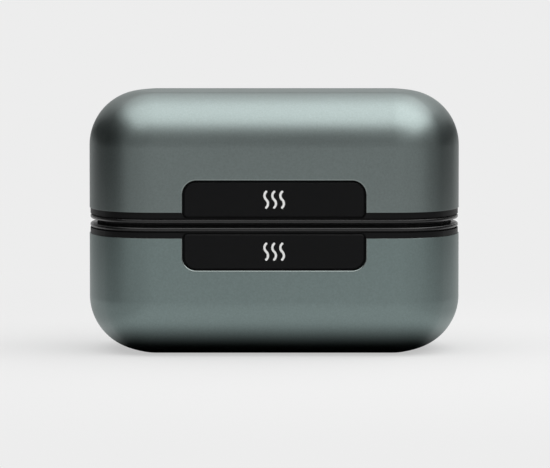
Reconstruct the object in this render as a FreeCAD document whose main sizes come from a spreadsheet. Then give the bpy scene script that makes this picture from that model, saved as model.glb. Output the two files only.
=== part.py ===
# Rechargeable hand warmer: two equal halves that cling together face to face by their magnets.
# Each half is a drawn metal shell over a moulded frame, closed by a face plate, with a plain tab
# in the front wall and a control tab in the rear wall. Millimetres, +Z up, the pair stands on z = 0.
import FreeCAD, Part
import math
import os
import re
import Sketcher
from FreeCAD import Placement, Rotation, Vector

# Driving sizes. Heights of a half are counted from the plane where the two halves meet.
DRIVING = {
    # Body and metal shell
    "body_length": 90,
    "body_depth": 50,
    "half_height": 31.6,
    "edge_radius": 13.3,
    "corner_margin": 0.8,
    "end_radius": 38,
    "shell_wall": 1.2,
    "rim_bevel": 0.12,
    "notch_bevel": 0.36,
    # Seam between the shell and the mating face
    "seam_inset": 0.2,
    "lip_setback": 0.5,
    "lip_height": 0.9,
    "lip_round": 0.42,
    "lip_back_round": 0.25,
    "shadow_gap": 0.35,
    "shadow_depth": 0.6,
    "band_height": 1.35,
    # Clearances
    "fit_gap": 0.1,
    "tab_gap": 0.38,
    "slide_gap": 0.2,
    "battery_gap": 0.15,
    # Front and rear tabs
    "tab_width": 43.1,
    "tab_height": 8.25,
    "tab_bottom": 2.1,
    "tab_corner": 2.9,
    "tab_foot_corner": 0.8,
    "tab_recess": 0.15,
    "tab_bevel": 0.2,
    "peg_diameter": 1.4,
    "peg_length": 0.9,
    "peg_margin": 2.4,
    "peg_rise": 0.9,
    # Moulded frame
    "frame_wall": 1.4,
    "frame_lip": 5,
    "frame_floor": 0.8,
    "backing_rise": 1.0,
    "backing_side": 1.0,
    "cradle_wall": 1.4,
    "cradle_leg": 10.5,
    "cradle_rise": 5.8,
    "boss_diameter": 5,
    "boss_cap": 0.9,
    "rib_pitch": 14,
    "rib_thickness": 1.0,
    "rib_height": 2.2,
    # Mating face
    "inlay_margin": 1.6,
    "inlay_thickness": 0.8,
    "inlay_round": 0.25,
    "spigot_wall": 1.2,
    "spigot_rise": 1.5,
    "magnet_diameter": 12,
    "magnet_thickness": 2,
    "magnet_skin": 0.5,
    "magnet_end_room": 21,
    "magnet_side_room": 13,
    "cup_wall": 1.1,
    # Screws
    "screw_diameter": 2,
    "face_head_diameter": 3.6,
    "face_head_height": 0.55,
    "face_screw_length": 6,
    "face_screw_end_room": 10,
    "face_screw_side_room": 12,
    "board_head_diameter": 3.4,
    "board_head_height": 1.2,
    "board_screw_tip_gap": 0.2,
    # Circuit board and what is soldered to it
    "board_width": 19,
    "board_thickness": 0.8,
    "board_corner": 1.5,
    "board_rear_gap": 0.5,
    "board_end_gap": 0.55,
    "board_screw_margin": 2.6,
    "board_screw_room": 3.0,
    "post_diameter": 4.2,
    "post_height": 0.3,
    "component_room": 5,
    "chip_place": 8,
    "chip_line": 6.5,
    "chip_size": 4,
    "chip_height": 0.9,
    "coil_place": 13,
    "coil_line": 7,
    "coil_size": 5,
    "coil_height": 3,
    "capacitor_pitch": 4,
    "capacitor_line": 4,
    "capacitor_width": 3.2,
    "capacitor_depth": 1.6,
    "capacitor_height": 1.8,
    "controller_place": 3,
    "controller_line": 10.5,
    "controller_size": 5,
    "controller_height": 1.2,
    # Charging port
    "port_offset": 12,
    "port_width": 8.94,
    "port_height": 3.2,
    "port_corner": 1.45,
    "port_wall": 0.3,
    "port_length": 7.35,
    "port_back": 1.15,
    "port_setback": 0.2,
    "tongue_width": 6.7,
    "tongue_thickness": 0.7,
    "tongue_length": 4.4,
    # Power button and its switch
    "button_offset": 12,
    "button_width": 9,
    "button_height": 3.6,
    "button_corner": 1.7,
    "button_flange": 0.8,
    "button_flange_thickness": 0.8,
    "button_rest_gap": 0.05,
    "button_travel": 0.4,
    "button_edge": 0.35,
    "stem_diameter": 2.6,
    "stem_length": 2.05,
    "plunger_diameter": 2,
    "plunger_length": 2.2,
    "plunger_proud": 1.6,
    "switch_width": 6,
    "switch_depth": 3.6,
    "switch_height": 3.5,
    # Status lights
    "light_pitch": 2.4,
    "light_diameter": 1.3,
    "light_bar_margin": 0.25,
    "light_bar_height": 2.2,
    "light_bar_depth": 1.2,
    "led_width": 1.2,
    "led_depth": 0.8,
    "led_height": 2.1,
    "led_setback": 0.1,
    # Battery
    "battery_end_room": 13,
    "battery_side_room": 6,
    "battery_corner": 3,
    "battery_edge": 1.2,
    "guard_side_gap": 1.05,
    "guard_height": 9,
    "guard_thickness": 1.2,
    "guard_rise": 2.8,
    # Heater
    "heater_end_margin": 4,
    "heater_side_margin": 2,
    "heater_corner": 2,
    "heater_thickness": 0.25,
    "insulation_thickness": 4,
    "insulation_end_room": 4,
    "thermistor_diameter": 2,
    "thermistor_length": 3.2,
    # Leads
    "lead_diameter": 1.2,
    "sensor_lead_diameter": 0.6,
    "lead_spacing": 1.5,
    "lead_clearance": 0.4,
    "lead_bend": 3,
    "lead_end_gap": 3,
    "lead_straight": 0.8,
    "lead_level": 2.4,
    "sensor_lead_spacing": 1.0,
    "sensor_lead_margin": 2,
    "lead_solder_margin": 6.5,
    "heater_lead_overlap": 1.2,
}

# Sizes that follow from the driving ones, so that what fits together stays fitted.
FITS = {
    "corner_radius": "edge_radius + corner_margin",
    "face_rim": "lip_setback + lip_height",
    "band_bottom": "face_rim + shadow_gap",
    "rim_level": "band_bottom + band_height",
    "frame_inset": "shell_wall + fit_gap",
    "bore_inset": "frame_inset + frame_wall",
    "frame_top": "rim_level + frame_lip",
    "spigot_inset": "bore_inset + fit_gap",
    "magnet_level": "inlay_thickness + magnet_skin",
    "floor_bottom": "magnet_level + magnet_thickness",
    "floor_top": "floor_bottom + frame_floor",
    "magnet_place": "body_length / 2 - magnet_end_room",
    "magnet_side": "body_depth / 2 - magnet_side_room",
    "face_screw_place": "body_length / 2 - face_screw_end_room",
    "face_screw_side": "body_depth / 2 - face_screw_side_room",
    "face_screw_seat": "inlay_thickness + face_head_height",
    "face_screw_tip": "face_screw_seat + face_screw_length",
    "screw_hole": "screw_diameter + 2 * fit_gap",
    "tab_top": "tab_bottom + tab_height",
    "tab_middle": "tab_bottom + tab_height / 2",
    "tab_back": "body_depth / 2 - frame_inset",
    "tab_thickness": "frame_inset - tab_recess",
    "tab_face": "tab_back + tab_thickness",
    "wall_face": "body_depth / 2 - bore_inset",
    "peg_place": "tab_width / 2 - peg_margin",
    "peg_level": "tab_bottom + peg_rise",
    "board_bottom": "floor_top + post_height",
    "board_top": "board_bottom + board_thickness",
    "board_rear": "wall_face - board_rear_gap",
    "board_middle": "board_rear - board_width / 2",
    "board_front": "board_rear - board_width",
    "board_screw_length": "board_top - floor_bottom - board_screw_tip_gap",
    "board_screw_place": "port_offset + port_width / 2 + board_screw_room",
    "board_length": "2 * (board_screw_place + board_screw_margin)",
    "board_screw_rise": "board_width / 2 - board_screw_margin",
    "control_level": "board_top + port_height / 2",
    "port_mouth": "tab_back - port_setback",
    "port_depth": "port_length - port_back",
    "flange_front": "tab_back - button_rest_gap",
    "flange_back": "flange_front - button_flange_thickness",
    "stem_end": "flange_back - stem_length",
    "switch_front": "stem_end - plunger_proud",
    "light_bar_length": "3 * light_pitch + light_diameter + 2 * light_bar_margin",
    "battery_level": "board_top + component_room",
    "battery_length": "body_length - 2 * battery_end_room",
    "battery_width": "body_depth - 2 * battery_side_room",
    "heater_top": "half_height - shell_wall",
    "heater_bottom": "heater_top - heater_thickness",
    "heater_length": "body_length - 2 * edge_radius - 2 * heater_end_margin",
    "heater_width": "body_depth - 2 * edge_radius - 2 * heater_side_margin",
    "battery_top": "heater_bottom - insulation_thickness",
    "insulation_length": "heater_length - 2 * insulation_end_room",
    "cradle_top": "battery_level + cradle_rise",
    "cradle_end": "battery_length / 2 + battery_gap + cradle_wall",
    "cradle_side": "battery_width / 2 + battery_gap + cradle_wall",
    "cradle_reach": "cradle_end - board_length / 2 - board_end_gap",
    "lead_run": "board_top + lead_level",
    "heater_lead_side": "cradle_side - cradle_leg - lead_clearance - lead_diameter / 2 - lead_spacing",
    "battery_lead_side": "heater_lead_side - 2 * lead_spacing",
    "heater_lead_drop": "battery_length / 2 + lead_end_gap",
    "heater_lead_bend": "heater_lead_drop - heater_length / 2",
    "guard_level": "battery_level + guard_rise",
    "guard_face": "battery_length / 2 + guard_thickness",
    "guard_width": "2 * (cradle_side - cradle_leg - guard_side_gap)",
    "sensor_line": "board_front + sensor_lead_margin",
}

doc = FreeCAD.newDocument("hand_warmer")


# Sheets and the formulas that read them
def add_sheet(name, cells):
    sheet = doc.addObject("Spreadsheet::Sheet", name)
    for row, (alias, content) in enumerate(cells.items(), start=1):
        sheet.set(f"A{row}", alias.replace("_", " "))
        sheet.set(f"B{row}", content)
        sheet.setAlias(f"B{row}", alias)
    doc.recompute()
    return sheet


def formula(text):
    """Point each size named in a formula at the sheet that holds it."""
    def with_sheet(match):
        word = match.group(0)
        if word in DRIVING:
            return "dims." + word
        if word in FITS:
            return "fits." + word
        return word
    return re.sub(r"[a-z_]+", with_sheet, text)


dims = add_sheet("dims", {alias: str(size) for alias, size in DRIVING.items()})
fits = add_sheet("fits", {alias: "=" + formula(text) for alias, text in FITS.items()})


def value(text):
    return float(dims.evalExpression(formula(text)))


# Sketches
def sketch_on(body, plane, offset="0"):
    """A sketch on one of the body's own origin planes, moved along that plane's normal."""
    sketch = body.newObject("Sketcher::SketchObject", body.Name + "_sketch")
    support = next(item for item in body.Origin.OriginFeatures if item.Role == plane)
    sketch.AttachmentSupport = [(support, "")]
    sketch.MapMode = "FlatFace"
    sketch.setExpression("AttachmentOffset.Base.z", formula(offset))
    return sketch


def level_sketch(body, height="0"):
    return sketch_on(body, "XY_Plane", height)


def upright_sketch(body, place="0"):
    """A sketch in the plane y = place, seen from the front: across is x and up is z."""
    return sketch_on(body, "XZ_Plane", f"-({place})")


def dimension(sketch, kind, text, *references):
    index = sketch.addConstraint(Sketcher.Constraint(kind, *references, value(text)))
    sketch.setExpression(f"Constraints[{index}]", formula(text))


def place_point(sketch, curve, point, across, up):
    dimension(sketch, "DistanceX", across, -1, 1, curve, point)
    dimension(sketch, "DistanceY", up, -1, 1, curve, point)


def arc(centre, radius, start, end):
    return Part.ArcOfCircle(Part.Circle(centre, Vector(0, 0, 1), radius), start, end)


def add_soft_outline(sketch, inset="0"):
    """The plan of the body, moved in by an inset: flat long sides, round corners, bowed ends."""
    half_length = value(f"body_length / 2 - ({inset})")
    half_depth = value(f"body_depth / 2 - ({inset})")
    corner = value(f"corner_radius - ({inset})")
    bow = value(f"end_radius - ({inset})")
    bow_x = half_length - bow
    corner_y = half_depth - corner
    corner_x = bow_x + math.sqrt((bow - corner) ** 2 - corner_y ** 2)
    lean = math.atan2(corner_y, corner_x - bow_x)
    right, up, left, down = 0, math.pi / 2, math.pi, 3 * math.pi / 2
    first = sketch.GeometryCount
    sketch.addGeometry([
        arc(Vector(bow_x, 0), bow, right - lean, right + lean),
        arc(Vector(corner_x, corner_y), corner, right + lean, up),
        Part.LineSegment(Vector(corner_x, half_depth), Vector(-corner_x, half_depth)),
        arc(Vector(-corner_x, corner_y), corner, up, left - lean),
        arc(Vector(-bow_x, 0), bow, left - lean, left + lean),
        arc(Vector(-corner_x, -corner_y), corner, left + lean, down),
        Part.LineSegment(Vector(-corner_x, -half_depth), Vector(corner_x, -half_depth)),
        arc(Vector(corner_x, -corner_y), corner, down, 2 * math.pi - lean),
    ], False)
    for step in range(8):
        sketch.addConstraint(Sketcher.Constraint("Tangent", first + step, 2, first + (step + 1) % 8, 1))
    for step in (3, 5, 7):
        sketch.addConstraint(Sketcher.Constraint("Equal", first + 1, first + step))
    dimension(sketch, "Radius", f"corner_radius - ({inset})", first + 1)
    for step, side in ((0, ""), (4, "-")):
        dimension(sketch, "Radius", f"end_radius - ({inset})", first + step)
        place_point(sketch, first + step, 3, f"{side}(body_length / 2 - end_radius)", "0")
    for step, side in ((2, ""), (6, "-")):
        sketch.addConstraint(Sketcher.Constraint("Horizontal", first + step))
        dimension(sketch, "DistanceY", f"{side}(body_depth / 2 - ({inset}))", -1, 1, first + step, 1)


def add_rounded(sketch, across, up, width, height, radii):
    """A rounded rectangle; its radii start at the upper right corner and go round to the left."""
    first = sketch.GeometryCount
    corners = []
    for radius, sides in zip(radii, ((1, 1), (-1, 1), (-1, -1), (1, -1))):
        centre_across = f"{across} + {sides[0]} * (({width}) / 2 - ({radius}))"
        centre_up = f"{up} + {sides[1]} * (({height}) / 2 - ({radius}))"
        corners.append((radius, centre_across, centre_up))
    arcs = []
    for step, (radius, centre_across, centre_up) in enumerate(corners):
        start = step * math.pi / 2
        middle = Vector(value(centre_across), value(centre_up))
        arcs.append(arc(middle, value(radius), start, start + math.pi / 2))
    for step, corner in enumerate(arcs):
        following = arcs[(step + 1) % 4]
        sketch.addGeometry(corner, False)
        sketch.addGeometry(Part.LineSegment(corner.EndPoint, following.StartPoint), False)
    for step in range(8):
        sketch.addConstraint(Sketcher.Constraint("Tangent", first + step, 2, first + (step + 1) % 8, 1))
    for step, (radius, centre_across, centre_up) in enumerate(corners):
        dimension(sketch, "Radius", radius, first + 2 * step)
        place_point(sketch, first + 2 * step, 3, centre_across, centre_up)


def add_rectangle(sketch, left, low, right, high):
    corners = [Vector(value(across), value(up)) for across, up in
               ((left, low), (right, low), (right, high), (left, high))]
    first = sketch.GeometryCount
    for step in range(4):
        sketch.addGeometry(Part.LineSegment(corners[step], corners[(step + 1) % 4]), False)
    for step, way in enumerate(("Horizontal", "Vertical", "Horizontal", "Vertical")):
        sketch.addConstraint(Sketcher.Constraint("Coincident", first + step, 2, first + (step + 1) % 4, 1))
        sketch.addConstraint(Sketcher.Constraint(way, first + step))
    place_point(sketch, first, 1, left, low)
    place_point(sketch, first + 2, 1, right, high)


def add_circle(sketch, across, up, diameter):
    middle = Vector(value(across), value(up))
    index = sketch.addGeometry(Part.Circle(middle, Vector(0, 0, 1), value(diameter) / 2), False)
    dimension(sketch, "Diameter", diameter, index)
    place_point(sketch, index, 3, across, up)


def add_tab_outline(sketch, grow="0"):
    """The tab's face: large upper corners, small lower ones, grown on all sides by a clearance."""
    upper = f"tab_corner + {grow}"
    lower = f"tab_foot_corner + {grow}"
    add_rounded(sketch, "0", "tab_middle", f"tab_width + 2 * {grow}", f"tab_height + 2 * {grow}",
                (upper, upper, lower, lower))


def four_places(across, up):
    return [(f"{side} * ({across})", f"{end} * ({up})") for side in (-1, 1) for end in (-1, 1)]


# Features
def extrude(sketch, kind, length, reverse=False, symmetric=False):
    body = sketch.getParentGeoFeatureGroup()
    feature = body.newObject("PartDesign::" + kind, f"{body.Name}_{kind.lower()}")
    feature.Profile = sketch
    feature.setExpression("Length", formula(length))
    feature.Reversed = reverse
    if symmetric:
        feature.SideType = "Symmetric"
    return feature


def pad(sketch, length, reverse=False):
    return extrude(sketch, "Pad", length, reverse)


def pocket(sketch, length, reverse=False, symmetric=False):
    """A cut that has to take material away: one that points out of the solid is refused."""
    body = sketch.getParentGeoFeatureGroup()
    doc.recompute()
    before = body.Tip.Shape.Volume
    feature = extrude(sketch, "Pocket", length, reverse, symmetric)
    doc.recompute()
    if not feature.Shape.Volume < before:
        raise RuntimeError(f"{feature.Name} cuts nothing")
    return feature


def dress(body, kind, size_property, size, wanted):
    """A fillet or chamfer on the edges of the body's last feature that the test accepts."""
    doc.recompute()
    base = body.Tip
    names = [f"Edge{count}" for count, edge in enumerate(base.Shape.Edges, start=1) if wanted(edge)]
    feature = body.newObject("PartDesign::" + kind, f"{body.Name}_{kind.lower()}")
    feature.Base = (base, names)
    feature.setExpression(size_property, formula(size))
    return feature


def round_edges(body, radius, wanted):
    return dress(body, "Fillet", "Radius", radius, wanted)


def bevel_edges(body, size, wanted):
    return dress(body, "Chamfer", "Size", size, wanted)


NEAR = 0.001


def lies_at(axis, place):
    """A test for edges that lie wholly in the plane across an axis at a place."""
    level = value(place)

    def wanted(edge):
        low = getattr(edge.BoundBox, axis + "Min")
        high = getattr(edge.BoundBox, axis + "Max")
        return abs(low - level) < NEAR and abs(high - level) < NEAR
    return wanted


def add_lead(body, side, across, diameter, start, start_level, drop_place, top_bend):
    """A lead that leaves its part along x, drops past the cell's end and turns in to the board."""
    landing_bend = "lead_run - board_top"
    start_x = f"{side} * ({start})"
    drop_x = f"{side} * ({drop_place})"
    end_x = f"{side} * (board_length / 2 - lead_solder_margin)"
    landing_x = f"{end_x} + {side} * ({landing_bend})"
    over = value(top_bend)
    under = value("lead_bend")
    drop = value(drop_x)
    top = value(start_level)
    run = value("lead_run")
    landing = value(landing_bend)
    up, down = math.pi / 2, 3 * math.pi / 2
    turn_down = Vector(drop - side * over, top - over)
    turn_in = Vector(drop - side * under, run + under)
    if side > 0:
        bends = [arc(turn_down, over, 0, up), arc(turn_in, under, down, 2 * math.pi)]
        last = arc(Vector(value(landing_x), run - landing), landing, up, math.pi)
        ways = [(2, 1), (2, 1), (1, 2)]
    else:
        bends = [arc(turn_down, over, up, math.pi), arc(turn_in, under, math.pi, down)]
        last = arc(Vector(value(landing_x), run - landing), landing, 0, up)
        ways = [(1, 2), (1, 2), (2, 1)]
    path = upright_sketch(body, across)
    path.addGeometry([
        Part.LineSegment(Vector(value(start_x), top), Vector(turn_down.x, top)),
        bends[0],
        Part.LineSegment(Vector(drop, turn_down.y), Vector(drop, turn_in.y)),
        bends[1],
        Part.LineSegment(Vector(turn_in.x, run), Vector(value(landing_x), run)),
        last,
    ], False)
    for step, (entry, leave) in zip((1, 3, 5), ways):
        path.addConstraint(Sketcher.Constraint("Tangent", step - 1, 2, step, entry))
        if step < 5:
            path.addConstraint(Sketcher.Constraint("Tangent", step, leave, step + 1, 1))
    for line, way in ((0, "Horizontal"), (2, "Vertical"), (4, "Horizontal")):
        path.addConstraint(Sketcher.Constraint(way, line))
    dimension(path, "Radius", top_bend, 1)
    dimension(path, "Radius", "lead_bend", 3)
    dimension(path, "Radius", landing_bend, 5)
    place_point(path, 0, 1, start_x, start_level)
    dimension(path, "DistanceX", drop_x, -1, 1, 2, 1)
    dimension(path, "DistanceY", "lead_run", -1, 1, 4, 1)
    place_point(path, 5, ways[2][1], end_x, "board_top")
    section = sketch_on(body, "YZ_Plane", start_x)
    add_circle(section, across, start_level, diameter)
    lead = body.newObject("PartDesign::AdditivePipe", body.Name + "_pipe")
    lead.Profile = section
    lead.Spine = path
    return lead


# Metal shell: drawn cover with a rounded crown, notched front and rear for the two tabs.
def make_shell(body):
    outline = level_sketch(body, "rim_level")
    add_soft_outline(outline)
    pad(outline, "half_height - rim_level")
    crown = round_edges(body, "edge_radius", lies_at("Z", "half_height"))
    doc.recompute()
    open_face = min(range(len(crown.Shape.Faces)), key=lambda i: crown.Shape.Faces[i].CenterOfMass.z)
    wall = body.newObject("PartDesign::Thickness", body.Name + "_wall")
    wall.Base = (crown, [f"Face{open_face + 1}"])
    wall.setExpression("Value", formula("shell_wall"))
    wall.Reversed = True
    wall.Join = "Intersection"
    doc.recompute()
    rim_faces = [face for face in wall.Shape.Faces if abs(face.BoundBox.ZMax - value("rim_level")) < NEAR]
    outer = rim_faces[0].OuterWire
    bevel_edges(body, "rim_bevel", lambda edge: any(edge.isSame(other) for other in outer.Edges))
    notch = upright_sketch(body)
    add_tab_outline(notch, "tab_gap")
    pocket(notch, "body_depth + 2 * shell_wall", symmetric=True)
    front = lies_at("Y", "-body_depth / 2")
    rear = lies_at("Y", "body_depth / 2")
    reach = value("tab_width / 2 + 2 * tab_gap")
    top = value("tab_top + 2 * tab_gap")
    low = value("rim_level + rim_bevel")

    def notch_edge(edge):
        box = edge.BoundBox
        inside = max(-box.XMin, box.XMax) < reach and box.ZMax < top and box.ZMax > low
        return inside and (front(edge) or rear(edge))
    bevel_edges(body, "notch_bevel", notch_edge)


# Moulded frame: collar, floor, backing walls for the tabs, cell cradle, board posts, screw bosses.
def make_inner_frame(body):
    rings = (
        ("face_rim", "seam_inset + shadow_depth", "shadow_gap"),
        ("band_bottom", "seam_inset", "band_height"),
        ("rim_level", "frame_inset", "frame_lip"),
    )
    for level, inset, height in rings:
        ring = level_sketch(body, level)
        add_soft_outline(ring, inset)
        pad(ring, height)
    tray = level_sketch(body, "frame_top")
    add_soft_outline(tray, "bore_inset")
    pocket(tray, "frame_top - floor_top")
    underside = level_sketch(body, "floor_bottom")
    add_soft_outline(underside, "bore_inset")
    pocket(underside, "floor_bottom - face_rim")
    backing = level_sketch(body, "frame_top")
    half_width = "(tab_width / 2 + backing_side)"
    add_rectangle(backing, f"-{half_width}", "-tab_back", half_width, "-wall_face")
    add_rectangle(backing, f"-{half_width}", "wall_face", half_width, "tab_back")
    pad(backing, "tab_top + backing_rise - frame_top")
    cradle = level_sketch(body, "floor_top")
    for side in (-1, 1):
        for end in (-1, 1):
            across = sorted((f"{end} * cradle_end", f"{end} * (cradle_end - cradle_reach)"), key=value)
            along = sorted((f"{side} * cradle_side", f"{side} * (cradle_side - cradle_leg)"), key=value)
            add_rectangle(cradle, across[0], along[0], across[1], along[1])
    pad(cradle, "cradle_top - floor_top")
    cell_room = level_sketch(body, "cradle_top")
    half_length = "(battery_length / 2 + battery_gap)"
    half_width = "(battery_width / 2 + battery_gap)"
    add_rectangle(cell_room, f"-{half_length}", f"-{half_width}", half_length, half_width)
    pocket(cell_room, "cradle_rise")
    ribs = level_sketch(body, "floor_top")
    for step in (-1, 0, 1):
        add_rectangle(ribs, f"{step} * rib_pitch - rib_thickness / 2", "-wall_face",
                      f"{step} * rib_pitch + rib_thickness / 2", "board_front - board_rear_gap")
    pad(ribs, "rib_height")
    posts = level_sketch(body, "floor_top")
    for across, up in four_places("board_screw_place", "board_screw_rise"):
        add_circle(posts, across, f"board_middle + {up}", "post_diameter")
    pad(posts, "post_height")
    bosses = level_sketch(body, "floor_top")
    for across, up in four_places("face_screw_place", "face_screw_side"):
        add_circle(bosses, across, up, "boss_diameter")
    pad(bosses, "face_screw_tip + boss_cap - floor_top")
    board_holes = level_sketch(body, "board_bottom")
    for across, up in four_places("board_screw_place", "board_screw_rise"):
        add_circle(board_holes, across, f"board_middle + {up}", "screw_hole")
    pocket(board_holes, "board_bottom - floor_bottom")
    face_holes = level_sketch(body, "floor_bottom")
    for across, up in four_places("face_screw_place", "face_screw_side"):
        add_circle(face_holes, across, up, "screw_hole")
    pocket(face_holes, "face_screw_tip + fit_gap - floor_bottom", reverse=True)
    for side, front in ((-1, True), (1, False)):
        tab_seat = upright_sketch(body, f"{side} * tab_back")
        add_tab_outline(tab_seat, "tab_gap")
        pocket(tab_seat, "frame_inset", reverse=front)
        peg_holes = upright_sketch(body, f"{side} * tab_back")
        for end in (-1, 1):
            add_circle(peg_holes, f"{end} * peg_place", "peg_level", "peg_diameter + 2 * fit_gap")
        pocket(peg_holes, "peg_length + fit_gap", reverse=not front)
    openings = upright_sketch(body, "tab_back")
    port_corner = ("port_corner + fit_gap",) * 4
    add_rounded(openings, "-port_offset", "control_level", "port_width + 2 * fit_gap",
                "port_height + 2 * fit_gap", port_corner)
    spread = "2 * button_flange + 2 * slide_gap"
    flange_corner = ("button_corner + button_flange + slide_gap",) * 4
    add_rounded(openings, "button_offset", "control_level", f"button_width + {spread}",
                f"button_height + {spread}", flange_corner)
    bar_end = "(light_bar_length / 2 + fit_gap)"
    bar_side = "(light_bar_height / 2 + fit_gap)"
    add_rectangle(openings, f"-{bar_end}", f"control_level - {bar_side}", bar_end, f"control_level + {bar_side}")
    pocket(openings, "frame_wall", reverse=True)


# Face plate: closes the half, with a rounded lip, a spigot for the frame and cups for the magnets.
def make_face_plate(body):
    plate = level_sketch(body, "lip_setback")
    add_soft_outline(plate, "seam_inset")
    pad(plate, "lip_height")
    round_edges(body, "min(lip_round; lip_height - lip_back_round - fit_gap)", lies_at("Z", "lip_setback"))
    round_edges(body, "lip_back_round", lies_at("Z", "face_rim"))
    spigot = level_sketch(body, "face_rim")
    add_soft_outline(spigot, "spigot_inset")
    add_soft_outline(spigot, "spigot_inset + spigot_wall")
    pad(spigot, "spigot_rise")
    cups = level_sketch(body, "face_rim")
    for across, up in four_places("magnet_place", "magnet_side"):
        add_circle(cups, across, up, "magnet_diameter + 2 * fit_gap + 2 * cup_wall")
    for across, up in four_places("face_screw_place", "face_screw_side"):
        add_circle(cups, across, up, "boss_diameter")
    pad(cups, "floor_bottom - face_rim")
    magnet_seats = level_sketch(body, "floor_bottom")
    for across, up in four_places("magnet_place", "magnet_side"):
        add_circle(magnet_seats, across, up, "magnet_diameter + 2 * fit_gap")
    pocket(magnet_seats, "magnet_thickness")
    recess = level_sketch(body, "lip_setback")
    add_soft_outline(recess, "seam_inset + inlay_margin")
    pocket(recess, "inlay_thickness - lip_setback", reverse=True)
    head_seats = level_sketch(body, "inlay_thickness")
    for across, up in four_places("face_screw_place", "face_screw_side"):
        add_circle(head_seats, across, up, "face_head_diameter + 2 * fit_gap")
    pocket(head_seats, "face_head_height", reverse=True)
    shank_holes = level_sketch(body, "inlay_thickness")
    for across, up in four_places("face_screw_place", "face_screw_side"):
        add_circle(shank_holes, across, up, "screw_hole")
    pocket(shank_holes, "floor_bottom - inlay_thickness", reverse=True)


# Face inlay: rubber moulding over the screw heads, proud of the lip, so that only the inlays meet.
def make_face_inlay(body):
    inlay = level_sketch(body)
    add_soft_outline(inlay, "seam_inset + inlay_margin + fit_gap")
    pad(inlay, "inlay_thickness")
    round_edges(body, "inlay_round", lies_at("Z", "0"))


# Tab: plate in the shell's notch, seated on the frame's backing wall by two pegs.
def add_tab(body, side):
    inward = side < 0
    face = upright_sketch(body, f"{side} * tab_back")
    add_tab_outline(face)
    pad(face, "tab_thickness", reverse=not inward)
    bevel_edges(body, "tab_bevel", lies_at("Y", f"{side} * tab_face"))
    pegs = upright_sketch(body, f"{side} * tab_back")
    for end in (-1, 1):
        add_circle(pegs, f"{end} * peg_place", "peg_level", "peg_diameter")
    pad(pegs, "peg_length", reverse=inward)


def make_label_plate(body):
    add_tab(body, -1)


def light_places():
    return [f"{step} * light_pitch" for step in (-1.5, -0.5, 0.5, 1.5)]


# Control plate: the rear tab, cut for the charging port, the power button and four lights.
def make_control_plate(body):
    add_tab(body, 1)
    cuts = upright_sketch(body, "tab_back")
    add_rounded(cuts, "-port_offset", "control_level", "port_width + 2 * slide_gap",
                "port_height + 2 * slide_gap", ("port_corner + slide_gap",) * 4)
    add_rounded(cuts, "button_offset", "control_level", "button_width + 2 * slide_gap",
                "button_height + 2 * slide_gap", ("button_corner + slide_gap",) * 4)
    for across in light_places():
        add_circle(cuts, across, "control_level", "light_diameter + fit_gap")
    pocket(cuts, "tab_thickness", reverse=False)
    mouth = value("port_width / 2 + 2 * slide_gap")
    face = lies_at("Y", "tab_face")

    def port_edge(edge):
        return face(edge) and abs(edge.CenterOfMass.x + value("port_offset")) < mouth
    outer_low = value("tab_bottom + tab_height / 4")
    outer_high = value("tab_top - tab_height / 8")
    bevel_edges(body, "tab_bevel", lambda edge: port_edge(edge)
                and outer_low < edge.CenterOfMass.z < outer_high)


# Power button: rounded key with a flange behind the plate and a stem that reaches the switch.
def make_power_button(body):
    key = upright_sketch(body, "flange_front")
    add_rounded(key, "button_offset", "control_level", "button_width", "button_height", ("button_corner",) * 4)
    pad(key, "body_depth / 2 - flange_front", reverse=True)
    round_edges(body, "button_edge", lies_at("Y", "body_depth / 2"))
    flange = upright_sketch(body, "flange_front")
    add_rounded(flange, "button_offset", "control_level", "button_width + 2 * button_flange",
                "button_height + 2 * button_flange", ("button_corner + button_flange",) * 4)
    pad(flange, "button_flange_thickness")
    stem = upright_sketch(body, "flange_back")
    add_circle(stem, "button_offset", "control_level", "stem_diameter")
    pad(stem, "stem_length")


def make_switch_plunger(body):
    plunger = upright_sketch(body, "stem_end")
    add_circle(plunger, "button_offset", "control_level", "plunger_diameter")
    pad(plunger, "plunger_length")


# Tactile switch: block on the board whose bore leaves the plunger room for the button's travel.
def make_switch_body(body):
    block = upright_sketch(body, "switch_front")
    add_rectangle(block, "button_offset - switch_width / 2", "board_top",
                  "button_offset + switch_width / 2", "board_top + switch_height")
    pad(block, "switch_depth")
    bore = upright_sketch(body, "switch_front")
    add_circle(bore, "button_offset", "control_level", "plunger_diameter + 2 * fit_gap")
    pocket(bore, "plunger_length - plunger_proud + button_travel + slide_gap", reverse=True)


# Light guide: clear bar in the frame's slot with a pin for each light, flush with the plate.
def make_light_guide(body):
    bar = upright_sketch(body, "tab_back")
    add_rectangle(bar, "-light_bar_length / 2", "control_level - light_bar_height / 2",
                  "light_bar_length / 2", "control_level + light_bar_height / 2")
    pad(bar, "light_bar_depth")
    pins = upright_sketch(body, "tab_back")
    for across in light_places():
        add_circle(pins, across, "control_level", "light_diameter")
    pad(pins, "tab_thickness", reverse=True)


def make_status_leds(body):
    leds = level_sketch(body, "board_top")
    for across in light_places():
        add_rectangle(leds, f"{across} - led_width / 2", "board_rear - led_setback - led_depth",
                      f"{across} + led_width / 2", "board_rear - led_setback")
    pad(leds, "led_height")


# Charging port: folded metal shell, open to the rear, with the contact tongue inside.
def make_usb_socket(body):
    tube = upright_sketch(body, "port_mouth")
    add_rounded(tube, "-port_offset", "control_level", "port_width", "port_height", ("port_corner",) * 4)
    pad(tube, "port_length")
    hollow = upright_sketch(body, "port_mouth")
    add_rounded(hollow, "-port_offset", "control_level", "port_width - 2 * port_wall",
                "port_height - 2 * port_wall", ("port_corner - port_wall",) * 4)
    pocket(hollow, "port_depth", reverse=True)


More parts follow.
